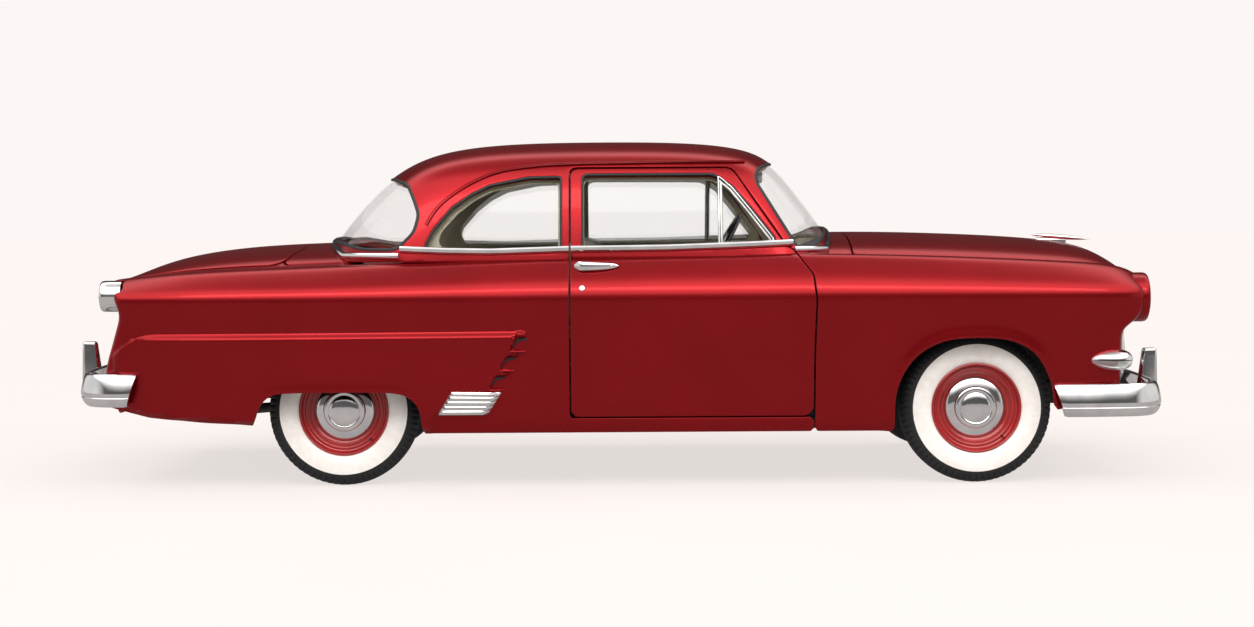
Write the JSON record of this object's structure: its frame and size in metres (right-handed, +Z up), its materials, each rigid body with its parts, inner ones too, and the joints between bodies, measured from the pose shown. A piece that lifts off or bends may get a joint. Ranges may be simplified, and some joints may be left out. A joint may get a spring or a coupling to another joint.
{
  "type": "car",
  "caption": "Rounded nineteen-fifties sedan car with bench seats, opening side doors, hood and trunk lid, steered front wheels and bright bumpers.",
  "frame": {"origin": "on the ground, under the middle of the car's bounding box", "axes": "+X forward along the car, +Y to its left, +Z up"},
  "size_m": [5.142, 1.9046, 1.595],
  "materials": {
    "body_paint": "gloss maroon enamel",
    "chrome": "bright plate",
    "glass": "clear, faintly green",
    "lamp_glass": "clear lens",
    "red_lens": "red lens",
    "tyre": "black rubber with white side wall",
    "black_steel": "satin black",
    "cast_steel": "rough",
    "engine_paint": "satin",
    "cabin_paint": "satin",
    "upholstery": "woven cloth",
    "hard_plastic": "gloss",
    "galvanised": "dull"
  },
  "bodies": {
    "chassis": {"frame": "black_steel", "floor_pan": "cabin_paint", "cowl": "body_paint", "roof": "body_paint", "quarter_right": "body_paint", "quarter_left": "body_paint", "tail_panel": "body_paint", "fender_right": "body_paint", "fender_left": "body_paint", "front_panel": "body_paint", "grille": "chrome", "front_bumper": "chrome", "rear_bumper": "chrome", "front_lenses": "lamp_glass", "tail_lamps": "chrome", "tail_lenses": "red_lens", "windscreen": "glass", "rear_window": "glass", "quarter_windows": "glass", "dashboard": "cabin_paint", "front_seat": "upholstery", "rear_seat": "upholstery", "steering_column": "hard_plastic", "engine": "engine_paint", "rear_axle": "cast_steel", "front_suspension": "black_steel", "exhaust": "galvanised", "fuel_tank": "galvanised"},
    "door_right": {"door_right": "body_paint", "door_glass_right": "glass"},
    "door_left": {"door_left": "body_paint", "door_glass_left": "glass"},
    "hood": {"hood": "body_paint"},
    "trunk_lid": {"trunk_lid": "body_paint"},
    "knuckle_right": {"knuckle_right": "cast_steel"},
    "knuckle_left": {"knuckle_left": "cast_steel"},
    "steering_wheel": {"steering_wheel": "hard_plastic"},
    "wheel_front_right": {"tyre_front_right": "tyre", "wheel_front_right": "body_paint"},
    "wheel_front_left": {"tyre_front_left": "tyre", "wheel_front_left": "body_paint"},
    "wheel_rear_right": {"tyre_rear_right": "tyre", "wheel_rear_right": "body_paint"},
    "wheel_rear_left": {"tyre_rear_left": "tyre", "wheel_rear_left": "body_paint"}
  },
  "joints": [
    {"name": "door_right_hinge", "type": "hinge", "parent": "chassis", "child": "door_right", "pos_m": [0.893, -0.954, 0.7], "axis": [0, 0, 1], "range_deg": [0, 65]},
    {"name": "door_left_hinge", "type": "hinge", "parent": "chassis", "child": "door_left", "pos_m": [0.893, 0.954, 0.7], "axis": [0, 0, -1], "range_deg": [0, 65]},
    {"name": "hood_hinge", "type": "hinge", "parent": "chassis", "child": "hood", "pos_m": [1.0915, 0, 1.151], "axis": [0, -1, 0], "range_deg": [0, 50]},
    {"name": "trunk_hinge", "type": "hinge", "parent": "chassis", "child": "trunk_lid", "pos_m": [-1.5055, 0, 1.109], "axis": [0, 1, 0], "range_deg": [0, 60]},
    {"name": "knuckle_left_turn", "type": "hinge", "parent": "chassis", "child": "knuckle_left", "pos_m": [1.642, 0.63, 0.348], "axis": [0, 0, 1], "range_deg": [-30, 30]},
    {"name": "knuckle_right_turn", "type": "hinge", "parent": "chassis", "child": "knuckle_right", "pos_m": [1.642, -0.63, 0.348], "axis": [0, 0, 1], "range_deg": [-30, 30]},
    {"name": "steering_wheel_turn", "type": "hinge", "parent": "chassis", "child": "steering_wheel", "pos_m": [0.502, 0.38, 1.029], "axis": [-0.866, 0, 0.5], "range_deg": [-480, 480]},
    {"name": "wheel_front_right_spin", "type": "hinge", "parent": "knuckle_right", "child": "wheel_front_right", "pos_m": [1.642, -0.7366, 0.348], "axis": [0, 1, 0], "continuous": true},
    {"name": "wheel_front_left_spin", "type": "hinge", "parent": "knuckle_left", "child": "wheel_front_left", "pos_m": [1.642, 0.7366, 0.348], "axis": [0, 1, 0], "continuous": true},
    {"name": "wheel_rear_right_spin", "type": "hinge", "parent": "chassis", "child": "wheel_rear_right", "pos_m": [-1.279, -0.711, 0.348], "axis": [0, 1, 0], "continuous": true},
    {"name": "wheel_rear_left_spin", "type": "hinge", "parent": "chassis", "child": "wheel_rear_left", "pos_m": [-1.279, 0.711, 0.348], "axis": [0, 1, 0], "continuous": true}
  ],
  "couplings": [
    {"joint": "knuckle_right_turn", "follows": "knuckle_left_turn", "ratio": 1},
    {"joint": "steering_wheel_turn", "follows": "knuckle_left_turn", "ratio": 16}
  ]
}
